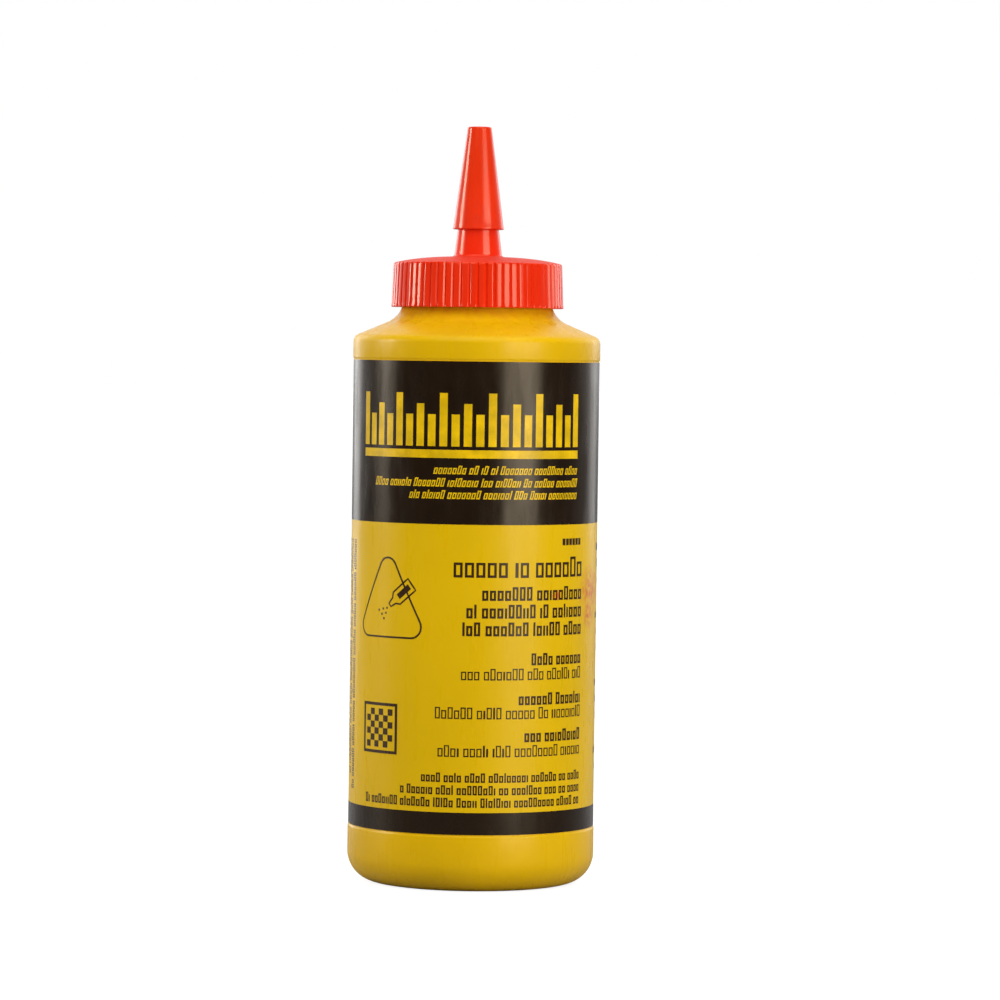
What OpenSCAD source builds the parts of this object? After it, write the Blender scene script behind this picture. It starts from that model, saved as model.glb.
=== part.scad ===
// Marking chalk bottle: a squeeze bottle of chalk powder, closed by a ribbed screw
// cap with a long pouring spout, and a tip cover that pushes onto the spout.
// The origin is on the axis, on the surface that the bottle stands on.
// The front of the label faces -Y.

/* [Bottle] */
// Outer diameter of the body
body_diameter = 58.4; // [54:0.2:64]
// Height at which the straight side ends and the shoulder begins
side_height = 127.4; // [124:0.1:150]
// Wall thickness of the body
body_wall = 1; // [0.7:0.1:1.4]
// Radius of the rounded heel
heel_radius = 7; // [3:0.5:8]
// Radius between the side and the shoulder
shoulder_radius = 2; // [1.6:0.2:3]
// Slope of the shoulder above the horizontal, in degrees
shoulder_slope = 23; // [18:1:28]
// Height of the hollow under the base
push_up = 2.6; // [1:0.2:4]
// Depth of the shallow panel that the label lies in
panel_depth = 0.25; // [0.15:0.05:0.4]

/* [Neck] */
// Outer diameter of the neck between its threads
neck_diameter = 35; // [34.8:0.1:35.1]
// Diameter of the mouth
mouth_diameter = 30.5; // [28:0.5:31]
// Height of the lip above the top of the straight side
neck_rise = 17; // [17:0.1:19]
// Radius of the curve from the shoulder into the neck
neck_curve = 6; // [5:0.5:7]

/* [Thread] */
// Rise of the thread in one turn, which is six turns to the inch
thread_pitch = 4.2333; // [4.2:0.0001:4.3]
// Number of turns of the thread on the neck and in the cap
thread_turns = 1.25; // [1:0.05:1.3]
// Height of the thread above the neck
thread_height = 1.2; // [1:0.05:1.25]

/* [Label] */
// Height of the lower edge of the label
label_bottom = 13.7; // [10:0.2:20]
// Height of the upper edge of the label
label_top = 123.2; // [100:0.1:124]
// Thickness of the film
label_film = 0.1; // [0.05:0.01:0.15]
// Angle over which the two ends of the film overlap, in degrees
label_overlap = 10; // [4:1:20]

/* [Chalk] */
// Height of the settled powder at the wall
chalk_level = 107; // [30:1:110]
// How much higher the powder lies on the axis
chalk_mound = 3; // [0:0.5:5]

/* [Cap] */
// Diameter over the ribs at the foot of the cap
cap_diameter = 40.8; // [40.6:0.1:42]
// Height of the ribbed skirt
skirt_height = 10.6; // [10.4:0.1:11]
// Draft of the skirt, in degrees
skirt_draft = 2.5; // [0:0.5:2.5]
// Number of grip ribs
rib_count = 64; // [40:4:72]
// Height of the ribs at the cap's rim
rib_height = 0.4; // [0.3:0.05:0.6]
// Thickness of the sealing ring under the cap's top
seal_thickness = 0.8; // [0.6:0.1:1]
// Diameter of the hole in the sealing ring
seal_hole = 24; // [20:1:26]

/* [Spout] */
// Length of the spout above the cap's top
spout_length = 27; // [22:0.5:29]
// Diameter at the foot of the spout
spout_diameter = 11.4; // [11:0.1:12]
// Narrowing of the spout's radius for each millimetre of its length
spout_taper = 0.13; // [0.12:0.005:0.135]
// Wall thickness of the spout
spout_wall = 0.9; // [0.7:0.1:1]
// Diameter of the outlet
outlet_diameter = 3; // [2:0.1:3.2]
// Length of the outlet's straight bore
outlet_length = 4; // [2:0.5:5]

/* [Tip cover] */
// Length of the tip cover
cover_length = 24.2; // [23:0.1:26]
// Wall thickness of the tip cover
cover_wall = 1; // [0.7:0.1:1.2]
// Length of spout left bare below the tip cover
cover_gap = 6.4; // [6:0.1:9]
// Play between the spout and the tip cover
cover_play = 0.15; // [0.1:0.05:0.3]

/* [Hidden] */

$fn = 96;
cut = 1;                 // how far a cutting shape runs past the face that it cuts
arc_steps = 8;           // straight pieces in each rounded corner
thread_step = 5;         // angle between the sections of a thread, in degrees
thread_root = 2.4;       // width of a thread where it leaves the wall
thread_crest = 1.1;      // width of a thread at its top
thread_fade = 25;        // angle over which a thread runs out at its ends
thread_bite = 0.3;       // depth by which a thread is sunk into its wall
thread_start = 1.2;      // distance from the lip down to the upper side of the thread
skirt_clearance = 0.35;  // play between the neck's thread and the inside of the skirt
lip_round = 0.5;         // radius on the outside of the lip
rim_round = 0.6;         // radius between the skirt and the cap's top
deck_rise = 1.5;         // height of the cap's shallow dome above its rim
deck_thickness = 1.1;    // thickness of the cap's top over the sealing ring
spout_fillet = 0.5;      // radius where the spout leaves the cap's top
seal_play = 0.4;         // play between the sealing ring and the skirt
cover_round = 0.5;       // radius on the top of the tip cover
chalk_play = 0.05;       // space between the powder and the wall
panel_bevel = 0.2;       // height of the slope at each edge of the label's panel
panel_margin = 0.2;      // space between the label and the edge of its panel

body_r = body_diameter / 2;
neck_r = neck_diameter / 2;
mouth_r = mouth_diameter / 2;
panel_r = body_r - panel_depth;
foot_r = body_r - heel_radius;
hollow_r = foot_r - 1.5;
lip_z = side_height + neck_rise;

// The shoulder's straight slope is tangent to the curve above it and the corner below it.
shoulder_end = arc_point([body_r - shoulder_radius, side_height], shoulder_radius, 90 - shoulder_slope);
neck_curve_x = neck_r + neck_curve;
neck_curve_z = shoulder_end[1] + (shoulder_end[0] - neck_curve_x) * tan(shoulder_slope)
    + neck_curve / cos(shoulder_slope);

seat_z = lip_z + seal_thickness;
rim_z = seat_z + deck_thickness;
skirt_z = rim_z - skirt_height;
deck_z = rim_z + deck_rise;
skirt_inside = neck_r + thread_height + skirt_clearance;
cap_r = cap_diameter / 2;
rim_r = cap_r - skirt_height * tan(skirt_draft);
seal_r = skirt_inside - seal_play;

spout_r = spout_diameter / 2;
spout_tip_z = deck_z + spout_length;
spout_tip_r = spout_radius(spout_tip_z);
outlet_z = spout_tip_z - outlet_length;

cover_z = deck_z + cover_gap;
cover_top_z = cover_z + cover_length;
cover_inside = spout_radius(cover_z) + cover_play;

neck_thread_z = lip_z - thread_start - thread_root / 2 - thread_turns * thread_pitch;
cap_thread_z = skirt_z + thread_root / 2 + 0.1;

function arc_point(centre, radius, angle) =
    [centre[0] + radius * cos(angle), centre[1] + radius * sin(angle)];

function arc(centre, radius, from, to) =
    [for (i = [0:arc_steps]) arc_point(centre, radius, from + (to - from) * i / arc_steps)];

function spout_radius(z) = spout_r - spout_taper * (z - deck_z);

// Outline of the base from the axis to the foot ring, raised by lift.
function base_points(lift) =
    [for (i = [0:2 * arc_steps])
        let (part = i / (2 * arc_steps))
        [hollow_r * part, lift + push_up * (1 + cos(180 * part)) / 2]];

// Outline of the heel, the side, the shoulder and the curve of the neck. The wall is taken
// off inwards: inset on the body and neck_inset on the neck.
function side_points(inset, neck_inset) = concat(
    arc([foot_r, heel_radius], heel_radius - inset, -90, 0),
    arc([body_r - shoulder_radius, side_height], shoulder_radius - inset, 0, 90 - shoulder_slope),
    arc([neck_curve_x, neck_curve_z], neck_curve + neck_inset, 270 - shoulder_slope, 180)
);

// Outline of the cap's dome from its rim to the axis: it falls faster the nearer it is to the rim.
function dome_points() =
    [for (i = [1:arc_steps])
        let (part = 1 - i / arc_steps)
        [(rim_r - rim_round) * part, rim_z + deck_rise * (1 - pow(part, 3))]];

function cavity_points() = concat(
    base_points(body_wall),
    side_points(body_wall, neck_r - mouth_r)
);

// Corners of one section of a thread, from its lower root round to its upper root.
function thread_section(wall_r, crest_r, share) =
    let (sunk_r = wall_r + sign(wall_r - crest_r) * thread_bite)
    let (top_r = wall_r + (crest_r - wall_r) * share)
    [[sunk_r, -thread_root / 2], [top_r, -thread_crest / 2],
     [top_r, thread_crest / 2], [sunk_r, thread_root / 2]];

// A helical ridge on the wall of radius wall_r. Ridges with the same phase lie on one helix,
// and the ridge sinks into the wall at both ends.
module thread_ridge(wall_r, crest_r, start_z, phase) {
    count = floor(360 * thread_turns / thread_step);
    sections = [for (i = [0:count])
        let (turned = i * thread_step)
        let (share = min(1, turned / thread_fade, (count * thread_step - turned) / thread_fade))
        let (z = start_z + thread_pitch * turned / 360)
        let (angle = phase + 360 * z / thread_pitch)
        [for (corner = thread_section(wall_r, crest_r, max(share, 0.05)))
            [corner[0] * cos(angle), corner[0] * sin(angle), z + corner[1]]]];
    points = [for (section = sections) each section];
    outward = crest_r > wall_r;
    sides = [for (i = [0:count - 1]) for (j = [0:3])
        let (next = (j + 1) % 4)
        let (face = [4 * i + j, 4 * i + next, 4 * i + 4 + next, 4 * i + 4 + j])
        outward ? face : [face[3], face[2], face[1], face[0]]];
    first = outward ? [3, 2, 1, 0] : [0, 1, 2, 3];
    last = [for (corner = first) 4 * count + 3 - corner];
    polyhedron(points, concat(sides, [first, last]), convexity = 8);
}

// Blow-moulded bottle: one hollow wall with a hollow base, a label panel and a threaded neck.
module bottle() {
    color([0.93, 0.69, 0.03]) {
        difference() {
            rotate_extrude()
                polygon(concat(
                    base_points(0),
                    side_points(0, 0),
                    arc([neck_r - lip_round, lip_z - lip_round], lip_round, 0, 90),
                    [[0, lip_z]]
                ));
            rotate_extrude()
                polygon(concat(
                    cavity_points(),
                    [[mouth_r, lip_z + cut], [0, lip_z + cut]]
                ));
            label_panel();
        }
        thread_ridge(neck_r, neck_r + thread_height, neck_thread_z, 0);
    }
}

// The ring that is taken off the body where the label lies.
module label_panel() {
    bottom = label_bottom - panel_margin;
    top = label_top + panel_margin;
    rotate_extrude()
        polygon([
            [panel_r, bottom],
            [body_r, bottom - panel_bevel],
            [body_r + cut, bottom - panel_bevel],
            [body_r + cut, top + panel_bevel],
            [body_r, top + panel_bevel],
            [panel_r, top]
        ]);
}

// Film wrapped once round the body, with its ends overlapping at the back.
module label() {
    height = label_top - label_bottom;
    color([0.14, 0.09, 0.06])
        translate([0, 0, label_bottom]) {
            rotate_extrude()
                translate([panel_r, 0])
                    square([label_film, height]);
            rotate([0, 0, 90])
                rotate_extrude(angle = label_overlap)
                    translate([panel_r + label_film, 0])
                        square([label_film, height]);
        }
}

// Settled powder: it fills the inside up to chalk_level and lies a little higher on the axis.
module chalk_powder() {
    inside_r = body_r - body_wall - chalk_play;
    color([0.78, 0.16, 0.12])
        rotate_extrude()
            polygon(concat(
                base_points(body_wall + chalk_play),
                arc([foot_r, heel_radius], heel_radius - body_wall - chalk_play, -90, 0),
                [[inside_r, chalk_level], [inside_r / 2, chalk_level + chalk_mound * 0.7]],
                [[0, chalk_level + chalk_mound]]
            ));
}

// Flat ring that the cap presses onto the lip.
module sealing_ring() {
    color([0.93, 0.92, 0.89])
        translate([0, 0, lip_z])
            difference() {
                cylinder(h = seal_thickness, r = seal_r);
                translate([0, 0, -cut])
                    cylinder(h = seal_thickness + 2 * cut, d = seal_hole);
            }
}

// Outer shape of the cap: a ribbed skirt with a rounded rim, under a shallow dome.
module cap_outside() {
    intersection() {
        translate([0, 0, skirt_z])
            linear_extrude(deck_z - skirt_z)
                ribbed_circle();
        rotate_extrude()
            polygon(concat(
                [[0, skirt_z], [cap_r, skirt_z]],
                arc([rim_r - rim_round, rim_z - rim_round], rim_round, 0, 90),
                dome_points()
            ));
    }
}

module ribbed_circle() {
    valley_r = rim_r - rib_height;
    circle(r = valley_r);
    for (i = [0:rib_count - 1])
        rotate(360 * (i + 0.5) / rib_count)
            translate([valley_r, 0])
                circle(r = rib_height + cap_r - rim_r, $fn = 24);
}

// Outer shape of the spout, with a fillet where it leaves the cap's top.
module spout_outside() {
    fillet_z = deck_z + spout_fillet;
    fillet_r = spout_radius(fillet_z);
    rotate_extrude()
        polygon(concat(
            [[0, rim_z], [fillet_r + spout_fillet, rim_z]],
            arc([fillet_r + spout_fillet, fillet_z], spout_fillet, 270, 180),
            [[spout_tip_r, spout_tip_z], [0, spout_tip_z]]
        ));
}

// Inside of the cap and the spout, down to the open foot of the skirt.
module cap_inside() {
    bore_foot_z = seat_z + deck_rise;
    bore_foot_r = spout_radius(bore_foot_z) - spout_wall;
    rotate_extrude()
        polygon([
            [0, skirt_z - cut],
            [skirt_inside, skirt_z - cut],
            [skirt_inside, seat_z],
            [seal_hole / 2, seat_z],
            [bore_foot_r, bore_foot_z],
            [spout_radius(outlet_z) - spout_wall, outlet_z],
            [outlet_diameter / 2, outlet_z],
            [outlet_diameter / 2, spout_tip_z + cut],
            [0, spout_tip_z + cut]
        ]);
}

// Screw cap and pouring spout, moulded in one piece.
module spout_cap() {
    color([0.9, 0.13, 0.07]) {
        difference() {
            union() {
                cap_outside();
                spout_outside();
            }
            cap_inside();
        }
        thread_ridge(skirt_inside, skirt_inside - thread_height, cap_thread_z, 180);
    }
}

// Hollow cone, closed at the top, that pushes onto the spout.
module tip_cover() {
    foot_outside = cover_inside + cover_wall;
    top_outside = foot_outside - spout_taper * cover_length;
    roof_z = cover_top_z - cover_wall;
    color([0.92, 0.15, 0.08])
        difference() {
            rotate_extrude()
                polygon(concat(
                    [[0, cover_z], [foot_outside, cover_z]],
                    arc([top_outside - cover_round, cover_top_z - cover_round], cover_round, 0, 90),
                    [[0, cover_top_z]]
                ));
            rotate_extrude()
                polygon([
                    [0, cover_z - cut],
                    [cover_inside + spout_taper * cut, cover_z - cut],
                    [cover_inside - spout_taper * (roof_z - cover_z), roof_z],
                    [0, roof_z]
                ]);
        }
}

bottle();
label();
chalk_powder();
sealing_ring();
spout_cap();
tip_cover();
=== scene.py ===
"""A marking chalk bottle with a pouring spout, on a pale floor in soft studio light."""

import math
import random

import bpy
import numpy as np
from mathutils import Matrix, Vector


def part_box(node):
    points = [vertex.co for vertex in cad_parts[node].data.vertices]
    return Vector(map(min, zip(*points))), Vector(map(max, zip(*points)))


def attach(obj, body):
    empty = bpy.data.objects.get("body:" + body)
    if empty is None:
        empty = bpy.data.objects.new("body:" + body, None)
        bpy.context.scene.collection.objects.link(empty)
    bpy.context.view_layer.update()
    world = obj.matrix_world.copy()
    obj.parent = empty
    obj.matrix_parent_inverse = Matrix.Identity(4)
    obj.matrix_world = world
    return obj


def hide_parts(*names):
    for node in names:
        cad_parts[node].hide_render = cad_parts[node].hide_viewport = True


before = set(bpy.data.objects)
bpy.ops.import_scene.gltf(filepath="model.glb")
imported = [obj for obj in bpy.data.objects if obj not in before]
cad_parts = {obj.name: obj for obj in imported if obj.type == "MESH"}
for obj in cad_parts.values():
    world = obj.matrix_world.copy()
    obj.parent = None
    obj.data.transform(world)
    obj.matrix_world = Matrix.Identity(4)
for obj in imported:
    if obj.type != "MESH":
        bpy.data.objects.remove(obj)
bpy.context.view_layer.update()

MM = 0.001
TAU = 2 * math.pi

# ---------------------------------------------------------------- sizes, in millimetres

bottle_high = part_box("bottle")[1] / MM
label_low, label_high = (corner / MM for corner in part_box("label"))
ring_low, ring_high = (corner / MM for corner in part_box("sealing_ring"))
cap_low, cap_high = (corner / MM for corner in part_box("spout_cap"))
cover_low, cover_high = (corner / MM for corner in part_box("tip_cover"))
chalk_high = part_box("chalk_powder")[1] / MM

# Bottle
BODY_R = bottle_high.x
LIP_Z = bottle_high.z
WALL = 1.0
HEEL_R = 7.0
PANEL_DEPTH = 0.25
PANEL_R = BODY_R - PANEL_DEPTH
PANEL_MARGIN = 0.2
SHOULDER_R = 2.0
SHOULDER_SLOPE = math.radians(23)
NECK_RISE = 17.0
SIDE_TOP = LIP_Z - NECK_RISE
NECK_R = 17.5
MOUTH_R = 15.25
NECK_CURVE = 6.0
LIP_ROUND = 0.5
PUSH_UP = 2.6
FOOT_R = BODY_R - HEEL_R
FOOT_WIDTH = 1.5
HOLLOW_R = FOOT_R - FOOT_WIDTH
POWDER_PLAY = 0.05
POWDER_MOUND = 3.0

# Thread, which is the same on the neck and in the cap
PITCH = 4.2333
THREAD_TURNS = 1.25
THREAD_HEIGHT = 1.2
THREAD_ROOT = 2.4
THREAD_CREST = 1.1
THREAD_RUN_OUT = 0.075   # in turns
LIP_TO_THREAD = 1.2
FOOT_TO_THREAD = 0.1
NECK_THREAD_Z = LIP_Z - LIP_TO_THREAD - THREAD_ROOT / 2 - THREAD_TURNS * PITCH
CAP_THREAD_Z = cap_low.z + THREAD_ROOT / 2 + FOOT_TO_THREAD

# Cap and spout
CAP_R = cap_high.x
SEAL_HOLE_R = 12.0
SEAT_Z = ring_high.z
DECK_THICKNESS = 1.1
DECK_RISE = 1.5
RIM_Z = SEAT_Z + DECK_THICKNESS
DECK_Z = RIM_Z + DECK_RISE
SKIRT_Z = cap_low.z
SKIRT_PLAY = 0.35
SKIRT_IN = NECK_R + THREAD_HEIGHT + SKIRT_PLAY
SKIRT_DRAFT = math.tan(math.radians(2.5))
RIM_R = CAP_R - (RIM_Z - SKIRT_Z) * SKIRT_DRAFT
RIM_ROUND = 0.6
RIB_COUNT = 64
RIB_DEPTH = 0.35
SPOUT_R = 5.7
SPOUT_TAPER = 0.13
SPOUT_WALL = 0.9
SPOUT_FILLET = 0.5
SPOUT_TIP_Z = cap_high.z
OUTLET_R = 1.5
OUTLET_LENGTH = 4.0
OUTLET_Z = SPOUT_TIP_Z - OUTLET_LENGTH

# Tip cover
COVER_Z = cover_low.z
COVER_TOP = cover_high.z
COVER_R = cover_high.x
COVER_WALL = 1.0

# Label film and the ink on it
LABEL_Z = label_low.z
LABEL_TOP = label_high.z
FILM = 0.1
FILM_GAP = 0.01
INK = 0.02
FILM_R = PANEL_R + FILM
SEAM = 180.0      # where the film starts, in degrees from the front
OVERLAP = 10.0    # how far its end lies over its start, in degrees
BAND_Z = 85.5
STRIPE_TOP = 18.9
PRINT_RIGHT = 30.3
PRINT_STEP = 1.0

ON_AXIS = 1e-6    # a row of a turned solid with a smaller radius is one vertex

rng = random.Random(7)


# ---------------------------------------------------------------- mesh building

def arc(x, z, radius, start, end, steps=10):
    """Points of an arc in the section plane, with its angles in radians."""
    return [
        (x + radius * math.cos(start + (end - start) * i / steps),
         z + radius * math.sin(start + (end - start) * i / steps))
        for i in range(steps + 1)
    ]


def tagged(points, tag=None):
    """Rows for turned(), each a radius, a height and the relief that shapes it."""
    return [(x, z, tag) for x, z in points]


def between(start, end, steps):
    """Points that divide a straight line of the section, both ends included."""
    return [
        (start[0] + (end[0] - start[0]) * i / steps, start[1] + (end[1] - start[1]) * i / steps)
        for i in range(steps + 1)
    ]


def even_angles(count):
    return np.arange(count) * TAU / count


def angles_with_seams(count):
    """Even angles, with more of them beside the two mould seams at the left and right."""
    steps = np.radians([-1.2, -0.7, -0.35, 0.35, 0.7, 1.2])
    return np.sort(np.mod(np.concatenate([even_angles(count), steps, math.pi + steps]), TAU))


def turned(name, rows, angles, reliefs=None, closed=False):
    """A solid of revolution about Z. A row's relief changes its radii and heights round the axis."""
    reliefs = reliefs or {}
    verts, starts = [], []
    for radius, height, tag in rows:
        starts.append(len(verts))
        if radius < ON_AXIS:
            verts.append((0, 0, height * MM))
            continue
        radii = np.full(len(angles), float(radius))
        heights = np.full(len(angles), float(height))
        if tag:
            radii, heights = reliefs[tag](radii, heights, angles)
        points = np.column_stack([radii * np.cos(angles), radii * np.sin(angles), heights])
        verts += (points * MM).tolist()
    faces = []
    pairs = list(zip(range(len(rows)), range(1, len(rows))))
    if closed:
        pairs.append((len(rows) - 1, 0))
    poles = [radius < ON_AXIS for radius, _, _ in rows]
    for low, high in pairs:
        faces += ring_faces(starts[low], poles[low], starts[high], poles[high], len(angles))
    return finished_mesh(name, verts, faces)


def ring_faces(low, low_pole, high, high_pole, count):
    """Faces between two rows of vertices, either of which may be one vertex on the axis."""
    faces = []
    for i in range(count):
        j = (i + 1) % count
        if low_pole:
            faces.append((low, high + j, high + i))
        elif high_pole:
            faces.append((low + i, low + j, high))
        else:
            faces.append((low + i, low + j, high + j, high + i))
    return faces


def finished_mesh(name, verts, faces, sharp=32):
    """A smooth-shaded object, with sharp edges where the surface turns more than sharp degrees."""
    mesh = bpy.data.meshes.new(name)
    mesh.from_pydata(verts, [], faces)
    mesh.validate()
    mesh.polygons.foreach_set("use_smooth", [True] * len(mesh.polygons))
    mesh.set_sharp_from_angle(angle=math.radians(sharp))
    mesh.update()
    piece = bpy.data.objects.new(name, mesh)
    bpy.context.scene.collection.objects.link(piece)
    return piece


def smoothstep(t):
    t = np.clip(t, 0, 1)
    return t * t * (3 - 2 * t)


def thread_share(heights, angles, start_z, phase):
    """How far the thread stands out at each point, from 0 to 1."""
    turn = heights / PITCH - (angles - phase) / TAU
    distance = (turn - np.round(turn)) * PITCH
    along = (heights - distance - start_z) / PITCH
    run = smoothstep(along / THREAD_RUN_OUT) * smoothstep((THREAD_TURNS - along) / THREAD_RUN_OUT)
    half_root, half_crest = THREAD_ROOT / 2, THREAD_CREST / 2
    return smoothstep((half_root - np.abs(distance)) / (half_root - half_crest)) * run


# ---------------------------------------------------------------- the bottle

def base_points(lift):
    """The hollow base from the axis to its foot ring."""
    steps = 18
    return [
        (HOLLOW_R * i / steps, lift + PUSH_UP * (1 + math.cos(math.pi * i / steps)) / 2)
        for i in range(steps + 1)
    ]


def neck_curve_centre():
    """Centre of the curve that runs tangent from the shoulder's slope into the neck."""
    corner_angle = math.pi / 2 - SHOULDER_SLOPE
    corner_x = BODY_R - SHOULDER_R + SHOULDER_R * math.cos(corner_angle)
    corner_z = SIDE_TOP + SHOULDER_R * math.sin(corner_angle)
    x = NECK_R + NECK_CURVE
    slope_z = corner_z + (corner_x - x) * math.tan(SHOULDER_SLOPE)
    return x, slope_z + NECK_CURVE / math.cos(SHOULDER_SLOPE)


def bottle_rows():
    """Section of the wall, from the middle of the base, up the outside and down the inside."""
    curve_x, curve_z = neck_curve_centre()
    slope_end = 1.5 * math.pi - SHOULDER_SLOPE
    corner_end = math.pi / 2 - SHOULDER_SLOPE
    panel_low, panel_high = LABEL_Z - PANEL_MARGIN, LABEL_TOP + PANEL_MARGIN
    outside = tagged(base_points(0), "base")
    outside += tagged(arc(FOOT_R, HEEL_R, HEEL_R, -math.pi / 2, 0, 14), "seam")
    outside += tagged([(BODY_R, panel_low - 0.45), (BODY_R - 0.03, panel_low - 0.25)], "seam")
    outside += tagged([(PANEL_R + 0.03, panel_low - 0.05), (PANEL_R, panel_low + 0.1)])
    outside += tagged([(PANEL_R, panel_high - 0.1), (PANEL_R + 0.03, panel_high + 0.05)])
    outside += tagged([(BODY_R - 0.03, panel_high + 0.25), (BODY_R, panel_high + 0.45)], "seam")
    outside += tagged(arc(BODY_R - SHOULDER_R, SIDE_TOP, SHOULDER_R, 0, corner_end, 10), "seam")
    outside += tagged(arc(curve_x, curve_z, NECK_CURVE, slope_end, math.pi, 18), "neck")
    neck_top = LIP_Z - LIP_ROUND
    outside += tagged(between((NECK_R, curve_z + 0.2), (NECK_R, neck_top - 0.2), 28), "neck")
    outside += tagged(arc(NECK_R - LIP_ROUND, neck_top, LIP_ROUND, 0, math.pi / 2, 6))
    neck_wall = NECK_R - MOUTH_R
    inside = tagged(arc(MOUTH_R + 0.3, LIP_Z - 0.3, 0.3, math.pi / 2, math.pi, 4))
    inside += tagged(arc(curve_x, curve_z, NECK_CURVE + neck_wall, math.pi, slope_end, 14))
    inside += tagged(arc(BODY_R - SHOULDER_R, SIDE_TOP, SHOULDER_R - WALL, corner_end, 0, 6))
    inside += tagged(arc(FOOT_R, HEEL_R, HEEL_R - WALL, 0, -math.pi / 2, 8))
    inside += tagged(base_points(WALL)[::-1])
    return outside + inside


def seam_bump(distance, width):
    """A smooth ridge that is 1 in its middle and fades out over its width."""
    return np.exp(-(distance / width) ** 2)


def side_seam(radii, heights, angles):
    """The fine ridge that the two halves of the mould leave on the left and on the right."""
    across = radii * np.abs(np.sin(angles))
    ridge_height, ridge_width = 0.05, 0.22
    return radii + ridge_height * seam_bump(across, ridge_width) - ridge_height, heights


def base_pinch(radii, heights, angles):
    """The pinched weld across the hollow base, and the ring that the mould's insert leaves."""
    across = radii * np.abs(np.sin(angles))
    weld_end, insert_r = HOLLOW_R - 2, 9
    weld = 0.45 * seam_bump(across, 0.5) * smoothstep((weld_end - radii) / 3)
    insert = 0.15 * seam_bump(radii - insert_r, 0.35)
    return radii, np.maximum(heights - weld - insert, 0)


def neck_thread(radii, heights, angles):
    """The thread on the neck, which also crosses the top of the neck's curve."""
    stand = NECK_R + THREAD_HEIGHT * thread_share(heights, angles, NECK_THREAD_Z, 0.0)
    return np.maximum(radii, stand), heights


def make_bottle():
    reliefs = {"seam": side_seam, "base": base_pinch, "neck": neck_thread}
    return turned("bottle_wall", bottle_rows(), angles_with_seams(240), reliefs)


def make_powder():
    """The settled powder, with the shallow hollows and crumbs of a loose surface."""
    inside_r = BODY_R - WALL - POWDER_PLAY
    rim_z = chalk_high.z - POWDER_MOUND
    rows = tagged(base_points(WALL + POWDER_PLAY))
    rows += tagged(arc(FOOT_R, HEEL_R, HEEL_R - WALL - POWDER_PLAY, -math.pi / 2, 0, 8))
    steps, heap = 60, 2.2
    for i in range(steps + 1):
        radius = inside_r * (1 - i / steps)
        rows.append((radius, rim_z + heap * math.cos(math.pi / 2 * radius / inside_r), "surface"))
    waves = [(rng.uniform(0.25, 1.9), rng.uniform(0, TAU), rng.uniform(0, TAU)) for _ in range(28)]

    def surface(radii, heights, angles):
        x, y = radii * np.cos(angles), radii * np.sin(angles)
        lumps = sum(
            0.12 / (0.4 + rate) * np.sin(rate * (x * math.cos(way) + y * math.sin(way)) + shift)
            for rate, way, shift in waves
        )
        return radii, heights + lumps * smoothstep((inside_r - radii) / 2)

    return turned("powder_fill", rows, even_angles(160), {"surface": surface})


def make_sealing_ring():
    """The flat foam ring, with its edges a little rounded over."""
    low, high = ring_low.z, ring_high.z
    edge = 0.12
    hole = SEAL_HOLE_R
    outer = ring_high.x
    rows = tagged([
        (hole + edge, low), (outer - edge, low), (outer, low + edge), (outer, high - edge),
        (outer - edge, high), (hole + edge, high), (hole, high - edge), (hole, low + edge),
    ])
    return turned("seal_washer", rows, even_angles(160), closed=True)


# ---------------------------------------------------------------- the cap, the spout and the tip cover

def spout_radius(z):
    return SPOUT_R - SPOUT_TAPER * (z - DECK_Z)


def ribs(radii, heights, angles):
    """Broad grip ribs with narrow valleys, cut off where the rim rounds over."""
    across = np.abs(np.mod(angles * RIB_COUNT / TAU, 1) - 0.5)
    crest = 1 - seam_bump(0.5 - across, 0.13) - 0.12 * (across / 0.5) ** 2
    foot = RIM_R - RIB_DEPTH + (RIM_Z - heights) * SKIRT_DRAFT
    return np.minimum(radii, foot + RIB_DEPTH * crest), heights


def cap_thread(radii, heights, angles):
    """The thread inside the skirt, half a turn round from the neck's."""
    return radii - THREAD_HEIGHT * thread_share(heights, angles, CAP_THREAD_Z, math.pi), heights


def dome_points(inner):
    """The cap's dome from its rim inwards: it falls faster the nearer it is to the rim."""
    outer = RIM_R - RIM_ROUND
    steps = 16
    points = []
    for i in range(1, steps + 1):
        x = outer + (inner - outer) * i / steps
        points.append((x, RIM_Z + (DECK_Z - RIM_Z) * (1 - (x / outer) ** 3)))
    return points


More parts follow.
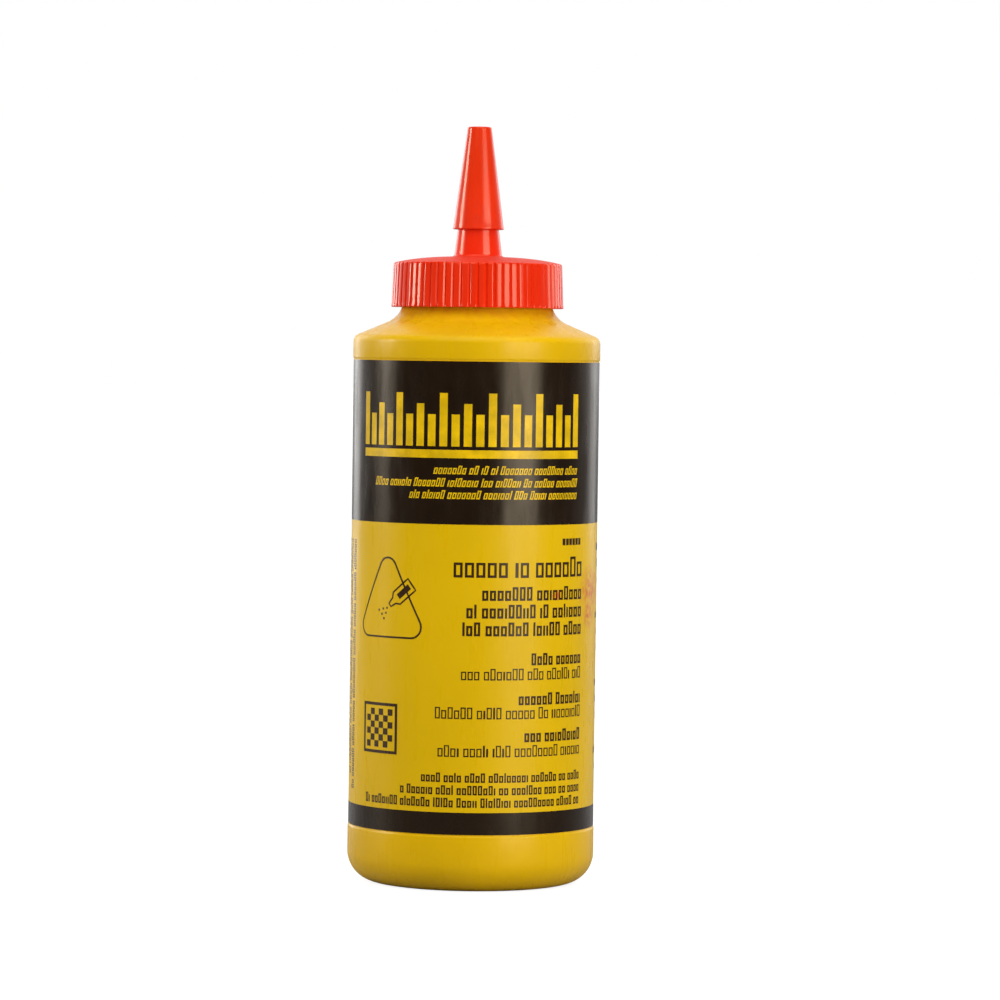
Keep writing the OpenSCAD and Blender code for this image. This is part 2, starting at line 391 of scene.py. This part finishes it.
def cap_rows():
    """Section of the cap and spout: up the skirt, over the deck, up the spout and back down inside."""
    foot_edge = 0.25
    rows = tagged(arc(CAP_R - foot_edge, SKIRT_Z + foot_edge, foot_edge, -math.pi / 2, 0, 4), "ribs")
    rows += tagged([(CAP_R - 0.1, SKIRT_Z + 1), (RIM_R + 0.03, RIM_Z - RIM_ROUND - 0.3)], "ribs")
    rows += tagged(arc(RIM_R - RIM_ROUND, RIM_Z - RIM_ROUND, RIM_ROUND, 0, math.pi / 2, 10), "ribs")
    fillet_z = DECK_Z + SPOUT_FILLET
    fillet_x = spout_radius(fillet_z) + SPOUT_FILLET
    rows += tagged(dome_points(fillet_x + 0.2))
    rows += tagged(arc(fillet_x, fillet_z, SPOUT_FILLET, 1.5 * math.pi, math.pi, 8))
    tip_round = 0.25
    tip_r = spout_radius(SPOUT_TIP_Z)
    spout_foot = (spout_radius(fillet_z + 0.4), fillet_z + 0.4)
    rows += tagged(between(spout_foot, (tip_r + 0.04, SPOUT_TIP_Z - 0.3), 8))
    rows += tagged(arc(tip_r - tip_round, SPOUT_TIP_Z - tip_round, tip_round, 0, math.pi / 2, 4))
    rows += tagged([(OUTLET_R + 0.1, SPOUT_TIP_Z), (OUTLET_R, SPOUT_TIP_Z - 0.1), (OUTLET_R, OUTLET_Z)])
    bore_foot_z = SEAT_Z + DECK_RISE
    bore_ends = [(spout_radius(z) - SPOUT_WALL, z) for z in (OUTLET_Z, bore_foot_z)]
    rows += tagged(bore_ends + [(SEAL_HOLE_R, SEAT_Z), (SKIRT_IN, SEAT_Z)])
    rows += tagged(between((SKIRT_IN, SEAT_Z - 0.2), (SKIRT_IN, SKIRT_Z + 0.3), 46), "thread")
    rows += tagged([(SKIRT_IN + 0.25, SKIRT_Z)])
    return rows


def make_cap():
    angles = even_angles(RIB_COUNT * 10)
    return turned("cap_body", cap_rows(), angles, {"ribs": ribs, "thread": cap_thread}, closed=True)


def cover_rows():
    """Section of the tip cover: a thin cone with a rounded foot, closed by a small dished top."""
    height = COVER_TOP - COVER_Z
    top_r = COVER_R - SPOUT_TAPER * height
    foot_edge, top_edge = 0.2, 0.5
    inner_foot = COVER_R - COVER_WALL
    roof_z = COVER_TOP - COVER_WALL
    dish_z = COVER_TOP - 0.12
    rows = tagged([(0, dish_z), (0.75, dish_z), (0.95, COVER_TOP)])
    rows += tagged(arc(top_r - top_edge, COVER_TOP - top_edge, top_edge, math.pi / 2, 0, 7))
    rows += tagged(between((top_r + 0.1, COVER_TOP - 1.2), (COVER_R - 0.05, COVER_Z + 0.45), 10))
    rows += tagged(arc(COVER_R - foot_edge, COVER_Z + foot_edge, foot_edge, 0, -math.pi / 2, 4))
    rows += tagged([(inner_foot + 0.12, COVER_Z), (inner_foot - 0.02, COVER_Z + 0.2)])
    rows += tagged([(inner_foot - SPOUT_TAPER * (roof_z - COVER_Z), roof_z), (0, roof_z)])
    return rows


def make_cover():
    return turned("cover_cone", cover_rows(), even_angles(128))


# ---------------------------------------------------------------- the label and its print

def film_lift(travelled):
    """How far the film is off the bottle, so many degrees from its start: its end lies on its start."""
    ramp = 8
    return (FILM + FILM_GAP) * float(smoothstep((travelled - 360 + ramp) / ramp))


def film_surface(degrees):
    """Radius of the label's outer face. Angles run round from the front, rightwards."""
    travelled = (degrees - SEAM) % 360
    if travelled <= OVERLAP:
        travelled += 360
    return PANEL_R + FILM + film_lift(travelled)


def on_label(along, height, radius):
    """A point at a distance along the label from its front, a height and a radius."""
    angle = along / FILM_R - math.pi / 2
    return radius * MM * math.cos(angle), radius * MM * math.sin(angle), height * MM


class Print:
    """Ink of one colour: thin closed patches that follow the film, on it or on ink beneath them."""

    def __init__(self, name, beneath=0.0):
        self.name = name
        self.beneath = beneath
        self.verts = []
        self.faces = []

    def strip(self, left, right):
        """A closed patch between two lines of the same number of (along, height) points."""
        start = len(self.verts)
        for pair in zip(left, right):
            for ink_height in (self.beneath, self.beneath + INK):
                for along, height in pair:
                    surface = film_surface(math.degrees(along / FILM_R))
                    self.verts.append(on_label(along, height, surface + ink_height))
        count = len(left)
        self.faces.append((start, start + 2, start + 3, start + 1))
        for i in range(count - 1):
            a, b = start + 4 * i, start + 4 * i + 4
            self.faces.append((a + 2, b + 2, b + 3, a + 3))
            self.faces.append((a, a + 1, b + 1, b))
            self.faces.append((a, b, b + 2, a + 2))
            self.faces.append((a + 1, a + 3, b + 3, b + 1))
        end = start + 4 * (count - 1)
        self.faces.append((end, end + 1, end + 3, end + 2))

    def bar(self, left, right, low, high, slant=0.0):
        """A rectangle of ink, leaning to the right by slant times its height."""
        count = max(1, math.ceil((right - left) / PRINT_STEP))
        stops = [left + (right - left) * i / count for i in range(count + 1)]
        lean = slant * (high - low)
        self.strip([(s, low) for s in stops], [(s + lean, high) for s in stops])

    def box(self, left, right, low, high, stroke, slant=0.0):
        """The outline of a rectangle, or a plain bar where it is too narrow to be hollow."""
        if right - left < 2.4 * stroke:
            self.bar(left, right, low, high, slant)
            return
        lean = slant * (high - low - stroke)
        self.bar(left, left + stroke, low, high, slant)
        self.bar(right - stroke, right, low, high, slant)
        self.bar(left + stroke, right - stroke, low, low + stroke, slant)
        self.bar(left + stroke + lean, right - stroke + lean, high - stroke, high, slant)

    def line(self, corners, width, closed=False):
        """A line of even width through the corners of a path."""
        points = divided(corners, closed)
        count = len(points)
        left, right = [], []
        for i, point in enumerate(points):
            before = points[i - 1] if i or closed else point
            after = points[(i + 1) % count] if i + 1 < count or closed else point
            run = (after[0] - before[0], after[1] - before[1])
            length = math.hypot(*run)
            side = (-run[1] / length * width / 2, run[0] / length * width / 2)
            left.append((point[0] + side[0], point[1] + side[1]))
            right.append((point[0] - side[0], point[1] - side[1]))
        if closed:
            left.append(left[0])
            right.append(right[0])
        self.strip(right, left)

    def piece(self):
        return finished_mesh(self.name, self.verts, self.faces, 60)


def divided(corners, closed):
    """The path's points with more between them, so that the line stays on the curved film."""
    points = []
    pairs = list(zip(corners, corners[1:]))
    if closed:
        pairs.append((corners[-1], corners[0]))
    for start, end in pairs:
        points += between(start, end, max(1, math.ceil(math.dist(start, end) / PRINT_STEP)))[:-1]
    return points if closed else points + [corners[-1]]


def boxes(ink, left, right, base, height, stroke, slant=0.0, turned_up=False):
    """A row of empty boxes in groups, set flush right, in place of a line of small print."""
    pitch = height * 0.56
    cursor = right
    while cursor > left + pitch:
        for _ in range(rng.randint(2, 9)):
            if cursor - pitch < left:
                break
            tall = height if rng.random() < 0.25 else height * 0.74
            width = pitch * (0.8 if rng.random() < 0.8 else 0.3)
            if turned_up:
                ink.box(base - tall, base, cursor - width, cursor, stroke)
            else:
                ink.box(cursor - width, cursor, base, base + tall, stroke, slant)
            cursor -= width + pitch * 0.2
        cursor -= pitch * 0.5


def make_film():
    """One strip of film that goes round once and then lies on its own start."""
    count = 370
    verts, faces = [], []
    for i in range(count + 1):
        travelled = (360 + OVERLAP) * i / count
        along = math.radians(SEAM + travelled) * FILM_R
        inner = PANEL_R + film_lift(travelled)
        for radius in (inner, inner + FILM):
            for height in (LABEL_Z, LABEL_TOP):
                verts.append(on_label(along, height, radius))
    for i in range(count):
        a, b = 4 * i, 4 * i + 4
        faces += [(a + 2, b + 2, b + 3, a + 3), (a, a + 1, b + 1, b)]
        faces += [(a, b, b + 2, a + 2), (a + 1, a + 3, b + 3, b + 1)]
    last = 4 * count
    faces += [(0, 2, 3, 1), (last, last + 1, last + 3, last + 2)]
    return finished_mesh("label_film", verts, faces, 60)


def make_bands():
    """The dark band and the dark stripe, which run right round to the film's outer end."""
    ink = Print("band_ink")
    end = math.radians(SEAM + OVERLAP) * FILM_R - 0.6
    round_trip = TAU * FILM_R - 1.2
    ink.bar(end - round_trip, end, BAND_Z, LABEL_TOP - 0.05)
    ink.bar(end - round_trip, end, LABEL_Z + 0.05, STRIPE_TOP)
    return ink.piece()


def rule(ink, left, right, low, high):
    """A bold graduated rule: a base line under marks of three heights."""
    marks, width, gap = 21, 1.9, 0.8
    ink.bar(left, right, low, low + width)
    foot = low + width + gap
    pitch = (right - left - width) / (marks - 1)
    for i in range(marks):
        share = 1.0 if i % 4 == 0 else 0.8 if i % 2 == 0 else 0.6
        start = left + pitch * i
        ink.bar(start, start + width, foot, foot + (high - foot) * share)


def make_light_print():
    """What is printed in yellow on the dark band."""
    ink = Print("light_print", INK)
    rule(ink, -31.4, 27.8, 100.8, 115.8)
    for left, base in ((-10.6, 97.1), (-27.5, 94.2), (-17.1, 91.4)):
        boxes(ink, left, 27.4, base, 2.0, 0.3, 0.25)
    for row in range(4):
        boxes(ink, 62, 88, 112 - 3.6 * row, 2.0, 0.3, 0.25)
    return ink.piece()


def rounded_triangle(centre, width, height, radius):
    """Outline of an upright triangle with rounded corners."""
    corners = [(0, height), (-width / 2, 0), (width / 2, 0)]
    slope = math.atan2(height, width / 2)
    inward = radius / math.tan(slope / 2)
    top_drop = radius / math.cos(slope)
    turns = [
        ((corners[0][0], height - top_drop), math.pi / 2 - slope, math.pi / 2 + slope),
        ((corners[1][0] + inward, radius), math.pi / 2 + slope, 1.5 * math.pi),
        ((corners[2][0] - inward, radius), -math.pi / 2, math.pi / 2 - slope),
    ]
    points = []
    for (x, z), start, end in turns:
        points += arc(centre[0] + x, centre[1] + z, radius, start, end, 8)
    return points


def pouring_sign(ink, centre):
    """A tilted bottle that pours dots, inside the triangle."""
    x, z = centre
    way, side = (-0.78, -0.62), (0.62, -0.78)  # down along the bottle, and across it

    def place(along, across):
        return x + way[0] * along + side[0] * across, z + way[1] * along + side[1] * across

    half = [(-5.4, 1.7), (0, 1.7), (0.9, 0.8), (2.6, 0.5)]
    outline = half + [(along, -across) for along, across in reversed(half)]
    ink.line([place(*point) for point in outline], 0.4, closed=True)
    ink.line([place(-4.6, 0), place(-0.6, 0)], 1.4)
    for along, across in ((3.8, 0), (4.8, 0.7), (4.9, -0.6), (6.0, 0.1), (6.1, 1.3), (6.2, -1.2)):
        dot_x, dot_z = place(along, across)
        ink.bar(dot_x - 0.25, dot_x + 0.25, dot_z - 0.25, dot_z + 0.25)


def chequered_square(ink, left, low, size):
    """A framed square of plain chequers."""
    frame_width, cells = 0.7, 6
    ink.box(left, left + size, low, low + size, frame_width)
    cell = (size - 4 * frame_width) / cells
    for column in range(cells):
        for row in range(column % 2, cells, 2):
            x = left + 2 * frame_width + cell * column
            z = low + 2 * frame_width + cell * row
            ink.bar(x, x + cell, z, z + cell)


def bar_block(ink, left, right, low, high):
    """A block of upright bars of mixed widths."""
    cursor = left
    while cursor < right:
        width = rng.choice((0.3, 0.3, 0.6, 0.9))
        ink.bar(cursor, cursor + width, low, high)
        cursor += width + rng.choice((0.35, 0.35, 0.7))


def make_dark_print():
    """What is printed in dark ink on the yellow of the label."""
    ink = Print("dark_print")
    right = PRINT_RIGHT
    boxes(ink, 21.9, 29.6, 80.7, 2.1, 0.45)
    boxes(ink, -5.8, right, 73.3, 4.7, 0.6)
    for left, base in ((0.3, 68.0), (-3.1, 63.9), (-4.0, 59.8)):
        boxes(ink, left, right, base, 3.2, 0.52)
    for left, base in ((12.9, 53.0), (10.3, 43.8), (12.1, 35.2)):
        boxes(ink, left, right, base, 2.8, 0.48)
    for left, base in ((-3.9, 49.6), (-9.2, 40.6), (-8.9, 31.8)):
        boxes(ink, left, right, base, 2.7, 0.3)
    for left, base in ((-12.6, 25.9), (-18.8, 23.0), (-31.0, 20.1)):
        boxes(ink, left, right, base, 2.2, 0.36)
    ink.line(rounded_triangle((-22.0, 58.9), 22.5, 21.5, 2.6), 0.45, closed=True)
    pouring_sign(ink, (-19.2, 68.0))
    chequered_square(ink, -30.4, 31.7, 11.8)
    for column in range(8):
        boxes(ink, 22.0 + 3 * (column % 3), 81.0, -36.5 - 3.1 * column, 2.0, 0.3, turned_up=True)
    for row in range(14):
        boxes(ink, 40 + 2 * (row % 4), 66, 79 - 4.0 * row, 2.0, 0.3)
    for row in range(9):
        boxes(ink, -83 + 2 * (row % 3), -64, 79 - 4.0 * row, 2.0, 0.3)
    bar_block(ink, 70, 87, 24, 38)
    return ink.piece()


# ---------------------------------------------------------------- materials

def linear(red, green, blue):
    """A colour given in 0 to 255 screen values."""
    parts = [c / 255 for c in (red, green, blue)]
    return tuple(c / 12.92 if c <= 0.04045 else ((c + 0.055) / 1.055) ** 2.4 for c in parts) + (1.0,)


YELLOW = linear(236, 186, 0)
LABEL_YELLOW = linear(236, 190, 0)
RED = linear(238, 44, 6)
COVER_RED = linear(240, 50, 6)
DARK_INK = linear(28, 14, 4)
TEXT_INK = linear(52, 28, 10)
CHALK = linear(206, 52, 40)
FOAM = linear(236, 234, 226)
GLOSS_TINT = (1.0, 0.84, 0.6, 1.0)


class Surface:
    """A node material with one Principled shader and helpers for its usual parts."""

    def __init__(self, name, roughness, specular=0.5):
        self.material = bpy.data.materials.new(name)
        self.material.use_nodes = True
        self.tree = self.material.node_tree
        self.shader = self.tree.nodes["Principled BSDF"]
        self.shader.inputs["Roughness"].default_value = roughness
        self.shader.inputs["Specular IOR Level"].default_value = specular
        self.shader.inputs["Specular Tint"].default_value = GLOSS_TINT
        self.place = self.tree.nodes.new("ShaderNodeTexCoord").outputs["Object"]

    def node(self, kind, **settings):
        made = self.tree.nodes.new(kind)
        for key, value in settings.items():
            setattr(made, key, value)
        return made

    def link(self, source, target):
        self.tree.links.new(source, target)

    def noise(self, scale, detail=2.0, stretch=(1, 1, 1), roughness=0.5):
        """Noise with scale cells in a metre, drawn out along the axes where stretch is small."""
        mapping = self.node("ShaderNodeMapping")
        mapping.inputs["Scale"].default_value = stretch
        self.link(self.place, mapping.inputs["Vector"])
        noise = self.node("ShaderNodeTexNoise")
        noise.inputs["Scale"].default_value = scale
        noise.inputs["Detail"].default_value = detail
        noise.inputs["Roughness"].default_value = roughness
        self.link(mapping.outputs["Vector"], noise.inputs["Vector"])
        return noise.outputs["Fac"]

    def ranged(self, value, low, high, to_low, to_high):
        """value taken from low..high to to_low..to_high, and held at the ends."""
        ranged = self.node("ShaderNodeMapRange")
        limits = {"From Min": low, "From Max": high, "To Min": to_low, "To Max": to_high}
        for socket, number in limits.items():
            ranged.inputs[socket].default_value = number
        self.link(value, ranged.inputs["Value"])
        return ranged.outputs["Result"]

    def mixed(self, share, first, second):
        """A colour between two, each a fixed colour or a socket."""
        mix = self.node("ShaderNodeMix", data_type="RGBA")
        self.link(share, mix.inputs["Factor"])
        colour_sockets = [s for s in mix.inputs if s.type == "RGBA"]
        for socket, colour in zip(colour_sockets, (first, second)):
            if isinstance(colour, tuple):
                socket.default_value = colour
            else:
                self.link(colour, socket)
        return next(s for s in mix.outputs if s.type == "RGBA")

    def maths(self, operation, first, second):
        """The result of a Math node on two values, each a number or a socket."""
        node = self.node("ShaderNodeMath", operation=operation)
        for socket, value in zip(node.inputs, (first, second)):
            if isinstance(value, (int, float)):
                socket.default_value = value
            else:
                self.link(value, socket)
        return node.outputs["Value"]

    def bump(self, height, depth, under=None):
        """Bump of depth millimetres, over another bump where one is given."""
        bump = self.node("ShaderNodeBump")
        bump.inputs["Distance"].default_value = depth * MM
        self.link(height, bump.inputs["Height"])
        if under:
            self.link(under, bump.inputs["Normal"])
        return bump.outputs["Normal"]

    def colour(self, socket):
        self.link(socket, self.shader.inputs["Base Color"])

    def rough(self, socket):
        self.link(socket, self.shader.inputs["Roughness"])

    def normal(self, socket):
        self.link(socket, self.shader.inputs["Normal"])

    def height(self):
        """Height of each point while its piece is at rest, in metres."""
        parts = self.node("ShaderNodeSeparateXYZ")
        self.link(self.place, parts.inputs["Vector"])
        return parts.outputs["Z"]

    def matt_between(self, low, high):
        """A matt roughness between two heights in millimetres, and none outside them."""
        matt, fade = 0.55, 0.2
        over_low = self.ranged(self.height(), low * MM, (low + fade) * MM, 0, matt)
        under_high = self.ranged(self.height(), (high - fade) * MM, high * MM, matt, 0)
        return self.maths("MINIMUM", over_low, under_high)

    def dust_near(self, height):
        """A thin haze of chalk at a height in millimetres, thickest there and gone 9 mm away."""
        away = self.maths("ABSOLUTE", self.maths("SUBTRACT", self.height(), height * MM), 0.0)
        haze = self.ranged(away, 9 * MM, 0.0, 0.0, 1.0)
        grit = self.ranged(self.noise(520, 5, roughness=0.65), 0.38, 0.7, 0.1, 0.45)
        return self.maths("MULTIPLY", haze, grit)

    def spot(self, along, height, radius):
        """A soft patch, from 1 in its middle to 0 at radius millimetres, at a place on the label."""
        middle = on_label(along, height, FILM_R)
        near = self.node("ShaderNodeVectorMath", operation="DISTANCE")
        near.inputs[1].default_value = middle
        self.link(self.place, near.inputs[0])
        return self.ranged(near.outputs["Value"], radius * MM, 0.2 * radius * MM, 0, 1)


def shaded(colour, factor):
    """The colour made darker or lighter."""
    return tuple(c * factor for c in colour[:3]) + (1.0,)


def moulded_plastic(name, colour, roughness, specular, grain, wave, dusty_z, matt_zone=None):
    """Moulded polyethylene: drifting colour, fine texture, slow waves in its gloss and a little dust."""
    surface = Surface(name, roughness, specular)
    drift = surface.ranged(surface.noise(38, 3), 0.35, 0.65, 0, 1)
    toned = surface.mixed(drift, shaded(colour, 0.93), shaded(colour, 1.04))
    surface.colour(surface.mixed(surface.dust_near(dusty_z), toned, CHALK))
    scuffs = surface.noise(420, 4, (1, 1, 0.12))
    worn = surface.ranged(scuffs, 0.35, 0.7, roughness - 0.05, roughness + 0.12)
    if matt_zone:
        worn = surface.maths("MAXIMUM", worn, surface.matt_between(*matt_zone))
    surface.rough(worn)
    fine = surface.bump(surface.noise(5200, 2), grain)
    surface.normal(surface.bump(surface.noise(70, 1), wave, fine))
    return surface.material


def chalky(surface, clean, patches, strength):
    """Lays red chalk dust over a colour, broken up by noise."""
    total = None
    for along, height, radius in patches:
        patch = surface.spot(along, height, radius)
        total = patch if total is None else surface.maths("MAXIMUM", total, patch)
    grit = surface.ranged(surface.noise(600, 5, roughness=0.7), 0.35, 0.62, 0, strength)
    surface.colour(surface.mixed(surface.maths("MULTIPLY", total, grit), clean, CHALK))


# Chalky finger marks: distance along the label, height and radius
SMUDGES = ((35.6, 69.6, 7.0), (34.5, 64.5, 4.5), (21.0, 69.2, 1.6))


def film_material():
    """Satin printed film, with handling scuffs and the red smudge of a chalky thumb."""
    surface = Surface("label film", 0.3, 0.28)
    drift = surface.ranged(surface.noise(30, 3), 0.35, 0.65, 0, 1)
    toned = surface.mixed(drift, shaded(LABEL_YELLOW, 0.95), shaded(LABEL_YELLOW, 1.03))
    chalky(surface, toned, SMUDGES, 0.85)
    scuffs = surface.noise(500, 4, (1, 1, 0.2))
    surface.rough(surface.ranged(scuffs, 0.35, 0.7, 0.25, 0.42))
    fine = surface.bump(surface.noise(4200, 2), 0.004)
    surface.normal(surface.bump(surface.noise(60, 1), 0.12, fine))
    return surface.material


def ink_material(name, colour, roughness, smudge):
    """Printing ink, a little worn and mottled."""
    surface = Surface(name, roughness, 0.4)
    mottle = surface.ranged(surface.noise(260, 4), 0.35, 0.7, 0, 1)
    toned = surface.mixed(mottle, shaded(colour, 0.85), shaded(colour, 1.2))
    if smudge:
        chalky(surface, toned, SMUDGES, 0.55)
    else:
        surface.colour(toned)
    scuffs = surface.noise(380, 4, (1, 1, 0.2))
    surface.rough(surface.ranged(scuffs, 0.35, 0.7, roughness - 0.04, roughness + 0.1))
    fine = surface.bump(surface.noise(4200, 2), 0.003)
    surface.normal(surface.bump(surface.noise(60, 1), 0.12, fine))
    return surface.material


def powder_material():
    """Loose chalk: coarse light and dark grains that stand up from the surface."""
    surface = Surface("chalk powder", 0.95, 0.2)
    grains = surface.ranged(surface.noise(2600, 4, roughness=0.75), 0.3, 0.7, 0, 1)
    surface.colour(surface.mixed(grains, shaded(CHALK, 0.7), shaded(CHALK, 1.15)))
    surface.normal(surface.bump(grains, 0.25))
    return surface.material


def foam_material():
    """White foam with fine open cells."""
    surface = Surface("sealing foam", 0.75, 0.35)
    cells = surface.ranged(surface.noise(3200, 2), 0.35, 0.65, 0, 1)
    surface.colour(surface.mixed(cells, shaded(FOAM, 0.9), FOAM))
    surface.normal(surface.bump(cells, 0.03))
    return surface.material


# ---------------------------------------------------------------- the pieces in their places

def fit_out(piece, material, body, node):
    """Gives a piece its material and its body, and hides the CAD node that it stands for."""
    piece.data.materials.append(material)
    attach(piece, body)
    if node:
        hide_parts(node)


yellow_plastic = moulded_plastic("bottle polyethylene", YELLOW, 0.3, 0.28, 0.005, 0.15, LIP_Z - 7)
cap_deck = (RIM_Z - 0.2, DECK_Z + 0.3)
red_plastic = moulded_plastic("cap polyethylene", RED, 0.15, 0.5, 0.002, 0.03, SPOUT_TIP_Z, cap_deck)
cover_plastic = moulded_plastic("cover polyethylene", COVER_RED, 0.17, 0.5, 0.002, 0.03, COVER_Z)
band_ink = ink_material("band ink", DARK_INK, 0.22, False)
light_ink = ink_material("light print", LABEL_YELLOW, 0.3, False)
dark_ink = ink_material("dark print", TEXT_INK, 0.3, True)

fit_out(make_bottle(), yellow_plastic, "bottle", "bottle")
fit_out(make_powder(), powder_material(), "bottle", "chalk_powder")
fit_out(make_film(), film_material(), "bottle", "label")
fit_out(make_bands(), band_ink, "bottle", None)
fit_out(make_light_print(), light_ink, "bottle", None)
fit_out(make_dark_print(), dark_ink, "bottle", None)
fit_out(make_sealing_ring(), foam_material(), "seal", "sealing_ring")
fit_out(make_cap(), red_plastic, "cap", "spout_cap")
fit_out(make_cover(), cover_plastic, "tip", "tip_cover")


# ---------------------------------------------------------------- floor, light and camera

def make_floor():
    """A wide pale floor that glows for the camera, so that it shows white with a very faint shadow."""
    size = 12.0
    verts = [(-size, -size, 0), (size, -size, 0), (size, size, 0), (-size, size, 0)]
    floor = finished_mesh("floor", verts, [(0, 1, 2, 3)])
    material = bpy.data.materials.new("pale floor")
    material.use_nodes = True
    tree = material.node_tree
    shader = tree.nodes["Principled BSDF"]
    shader.inputs["Base Color"].default_value = (0.32, 0.32, 0.32, 1)
    shader.inputs["Roughness"].default_value = 0.6
    shader.inputs["Specular IOR Level"].default_value = 0.2
    glow = tree.nodes.new("ShaderNodeEmission")
    seen = tree.nodes.new("ShaderNodeLightPath")
    glow_share = tree.nodes.new("ShaderNodeMath")
    glow_share.operation = "MULTIPLY"
    glow_share.inputs[1].default_value = 0.88
    both = tree.nodes.new("ShaderNodeAddShader")
    tree.links.new(seen.outputs["Is Camera Ray"], glow_share.inputs[0])
    tree.links.new(glow_share.outputs["Value"], glow.inputs["Strength"])
    tree.links.new(shader.outputs["BSDF"], both.inputs[0])
    tree.links.new(glow.outputs["Emission"], both.inputs[1])
    tree.links.new(both.outputs["Shader"], tree.nodes["Material Output"].inputs["Surface"])
    floor.data.materials.append(material)


def make_world():
    """White behind the bottle and dim on the camera's side, with a white backdrop for the camera."""
    world = bpy.data.worlds.new("studio")
    bpy.context.scene.world = world
    world.use_nodes = True
    tree = world.node_tree
    room = tree.nodes["Background"]
    way = tree.nodes.new("ShaderNodeTexCoord")
    parts = tree.nodes.new("ShaderNodeSeparateXYZ")
    fade = tree.nodes.new("ShaderNodeMapRange")
    fade.interpolation_type = "SMOOTHSTEP"
    fade.inputs["From Min"].default_value = 0.1
    fade.inputs["From Max"].default_value = 0.75
    fade.inputs["To Min"].default_value = 0.16
    fade.inputs["To Max"].default_value = 1.0
    room.inputs["Color"].default_value = (1, 1, 1, 1)
    backdrop = tree.nodes.new("ShaderNodeBackground")
    backdrop.inputs["Strength"].default_value = 1.0
    backdrop.inputs["Color"].default_value = (1, 1, 1, 1)
    seen = tree.nodes.new("ShaderNodeLightPath")
    both = tree.nodes.new("ShaderNodeMixShader")
    tree.links.new(way.outputs["Generated"], parts.inputs["Vector"])
    tree.links.new(parts.outputs["Y"], fade.inputs["Value"])
    tree.links.new(fade.outputs["Result"], room.inputs["Strength"])
    tree.links.new(seen.outputs["Is Camera Ray"], both.inputs["Fac"])
    tree.links.new(room.outputs["Background"], both.inputs[1])
    tree.links.new(backdrop.outputs["Background"], both.inputs[2])
    tree.links.new(both.outputs["Shader"], tree.nodes["World Output"].inputs["Surface"])


def softbox(name, bearing, elevation, distance, size, radiance):
    """A light aimed at the bottle, at a bearing rightwards from the camera's side. Metres and degrees."""
    width, height = size
    light = bpy.data.lights.new(name, "AREA")
    light.shape = "RECTANGLE"
    light.size = width
    light.size_y = height
    light.energy = radiance * math.pi * width * height
    lamp = bpy.data.objects.new(name, light)
    bpy.context.scene.collection.objects.link(lamp)
    turn = Matrix.Rotation(math.radians(bearing), 4, "Z")
    tilt = Matrix.Rotation(math.radians(90 - elevation), 4, "X")
    centre = Matrix.Translation((0, 0, 0.08))
    lamp.matrix_world = centre @ turn @ tilt @ Matrix.Translation((0, 0, distance))
    lamp.visible_camera = False


def make_camera():
    """The camera stands just above the top of the label and looks slightly down."""
    camera = bpy.data.cameras.new("camera")
    camera.sensor_width = 36
    camera.lens = 167.4
    camera.clip_end = 50
    eye = bpy.data.objects.new("camera", camera)
    bpy.context.scene.collection.objects.link(eye)
    yaw, pitch, roll = (math.radians(a) for a in (0.31, 1.908, 0.77))
    turn = Matrix.Rotation(-yaw, 4, "Z")
    tilt = Matrix.Rotation(math.pi / 2 - pitch, 4, "X")
    lean = Matrix.Rotation(roll, 4, "Z")
    place = Matrix.Translation((0, -1.1, 0.127))
    eye.matrix_world = place @ turn @ tilt @ lean
    bpy.context.scene.camera = eye


make_floor()
make_world()
softbox("key strip", 43, 9, 0.95, (0.56, 0.42), 5.4)
softbox("left strip", -93, 0, 0.9, (0.16, 0.14), 1.5)
softbox("left window", -92, 15, 0.9, (0.24, 0.34), 12)
softbox("left rim", -146, 8, 0.9, (0.3, 0.6), 2.0)
softbox("right rim", 142, 8, 0.9, (0.3, 0.6), 1.1)
softbox("front top", 8, 58, 0.7, (0.9, 0.7), 1.9)
make_camera()
bpy.context.scene.view_settings.view_transform = "Standard"
